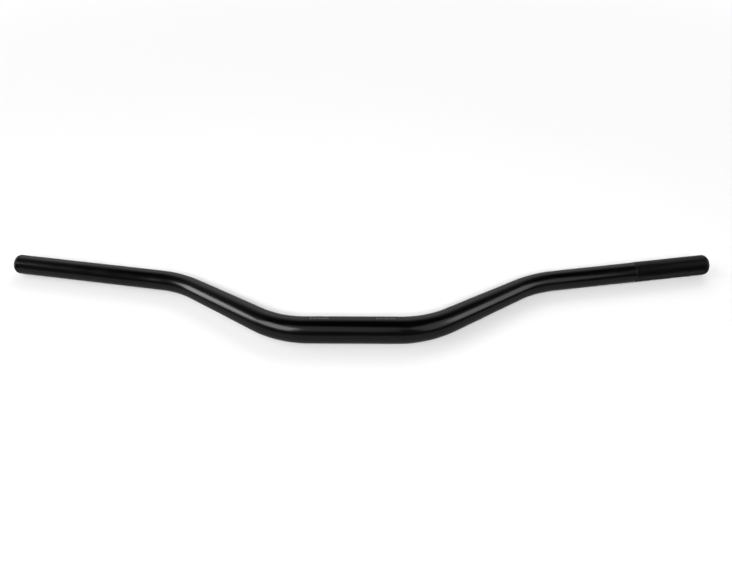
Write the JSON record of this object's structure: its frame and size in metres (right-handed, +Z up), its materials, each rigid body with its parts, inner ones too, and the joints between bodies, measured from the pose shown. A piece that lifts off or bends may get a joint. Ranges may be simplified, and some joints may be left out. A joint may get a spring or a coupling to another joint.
{
  "type": "motorcycle handlebar",
  "caption": "Tapered one-piece aluminium handlebar with a low double-bend rise and sweep, a knurled grip end on the rider's left, and push-in end plugs.",
  "frame": {"origin": "centre of the straight clamp section, on the tube's axis", "axes": "+X along the clamp section towards the rider's left hand (the knurled end), +Y back towards the rider, the way both ends sweep, +Z up from the flat surface that the bar lies on, which is at z = -14.3 mm"},
  "size_m": [0.8012, 0.1298, 0.0286],
  "materials": {
    "black_aluminium": "satin black anodised, soft sheen; diamond knurl on the left grip end is matt",
    "black_plastic": "fine-grained black moulded nylon"
  },
  "bodies": {
    "root": {"handlebar_tube": "black_aluminium", "left_end_plug": "black_plastic", "right_end_plug": "black_plastic"}
  },
  "joints": []
}
